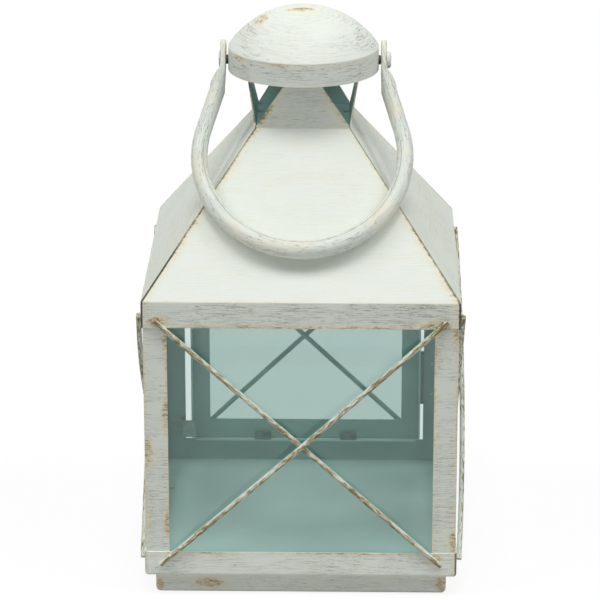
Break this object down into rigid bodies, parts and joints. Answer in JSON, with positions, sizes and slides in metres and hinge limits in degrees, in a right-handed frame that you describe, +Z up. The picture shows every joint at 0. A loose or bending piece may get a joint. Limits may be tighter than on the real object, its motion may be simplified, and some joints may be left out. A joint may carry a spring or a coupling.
{
  "type": "candle lantern",
  "caption": "Square whitewashed metal candle lantern with glazed sides crossed by rods, a hipped roof, a vented domed cap, a hinged door and a bail handle.",
  "frame": {"origin": "centre of the plinth's underside, where the lantern stands", "axes": "+Z up, -Y out of the front pane, +Y out of the door, +X to the right seen from the front"},
  "size_m": [0.1922, 0.1914, 0.3291],
  "materials": {
    "whitewashed_steel": "brushed off-white paint with worn brown edges, grey-green on the inside",
    "wire_paint": "off-white paint worn to brown",
    "dark_steel": "dull grey paint over steel",
    "clear_glass": "clear float glass with a faint green tint"
  },
  "bodies": {
    "lantern": {"base_tray": "whitewashed_steel", "cap": "whitewashed_steel", "corner_post_back_left": "whitewashed_steel", "corner_post_back_right": "whitewashed_steel", "corner_post_front_left": "whitewashed_steel", "corner_post_front_right": "whitewashed_steel", "door_stop_tabs": "whitewashed_steel", "foot_plinth": "whitewashed_steel", "front_glass": "clear_glass", "front_glass_clips": "whitewashed_steel", "front_wire_a": "wire_paint", "front_wire_b": "wire_paint", "handle_rivet_left": "dark_steel", "handle_rivet_right": "dark_steel", "handle_spacer_left": "dark_steel", "handle_spacer_right": "dark_steel", "hinge_post_rivets": "dark_steel", "latch_rivet": "dark_steel", "left_glass": "clear_glass", "left_glass_clips": "whitewashed_steel", "left_wire_a": "wire_paint", "left_wire_b": "wire_paint", "lower_hinge_pin": "dark_steel", "lower_hinge_post_leaf": "whitewashed_steel", "right_glass": "clear_glass", "right_glass_clips": "whitewashed_steel", "right_wire_a": "wire_paint", "right_wire_b": "wire_paint", "roof_panel_back": "whitewashed_steel", "roof_panel_front": "whitewashed_steel", "roof_panel_left": "whitewashed_steel", "roof_panel_right": "whitewashed_steel", "upper_hinge_pin": "dark_steel", "upper_hinge_post_leaf": "whitewashed_steel"},
    "handle": {"handle": "whitewashed_steel"},
    "door": {"door_frame": "whitewashed_steel", "door_glass": "clear_glass", "door_glass_clips": "whitewashed_steel", "door_wire_a": "wire_paint", "door_wire_b": "wire_paint", "upper_hinge_door_leaf": "whitewashed_steel", "lower_hinge_door_leaf": "whitewashed_steel", "hinge_door_rivets": "dark_steel"},
    "latch": {"latch_button": "dark_steel"}
  },
  "joints": [
    {"name": "handle_swing", "type": "hinge", "parent": "lantern", "child": "handle", "pos_m": [0, 0, 0.2975], "axis": [-1, 0, 0], "range_deg": [0, 277]},
    {"name": "door_swing", "type": "hinge", "parent": "lantern", "child": "door", "pos_m": [0.0727, 0.091, 0.09645], "axis": [0, 0, -1], "range_deg": [0, 170]},
    {"name": "latch_turn", "type": "hinge", "parent": "lantern", "child": "latch", "pos_m": [-0.08235, 0.0901, 0.09645], "axis": [0, -1, 0], "continuous": true}
  ]
}
